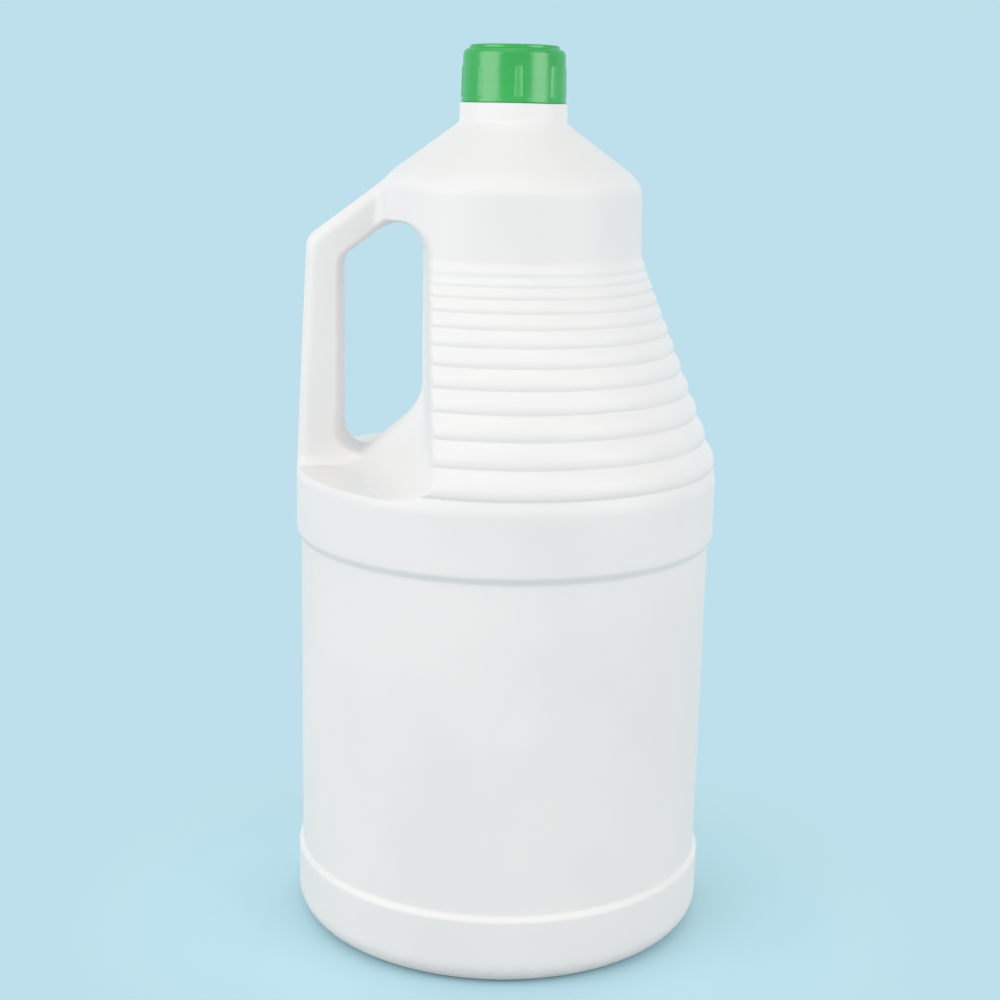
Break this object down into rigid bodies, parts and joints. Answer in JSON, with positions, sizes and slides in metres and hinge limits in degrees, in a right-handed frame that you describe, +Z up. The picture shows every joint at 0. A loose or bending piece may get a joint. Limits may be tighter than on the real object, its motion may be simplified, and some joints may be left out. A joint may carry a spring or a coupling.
{
  "type": "plastic jerrycan",
  "caption": "Round white blow-moulded plastic can with a ribbed sloping shoulder, a moulded-through carrying handle and a green screw cap on a threaded neck.",
  "frame": {"origin": "centre of the can's axis on the floor it stands on", "axes": "+Z up along the can's axis, -X towards the handle, the parting plane of the moulding is XZ"},
  "size_m": [0.171, 0.171, 0.3565],
  "materials": {
    "bottle_body": "satin white",
    "screw_cap": "satin green",
    "cap_liner": "foamed"
  },
  "bodies": {
    "can": {"bottle_body": "bottle_body"},
    "liner": {"cap_liner": "cap_liner"},
    "cap": {"screw_cap": "screw_cap"}
  },
  "joints": [
    {"name": "cap_rise", "type": "slide", "parent": "can", "child": "liner", "axis": [0, 0, 1], "range_m": [0, 0.01475]},
    {"name": "cap_turn", "type": "hinge", "parent": "liner", "child": "cap", "pos_m": [0, 0, 0.345], "axis": [0, 0, 1], "range_deg": [0, 1260]}
  ],
  "couplings": [
    {"joint": "cap_rise", "follows": "cap_turn", "m_per_rad": 0.00066845}
  ]
}
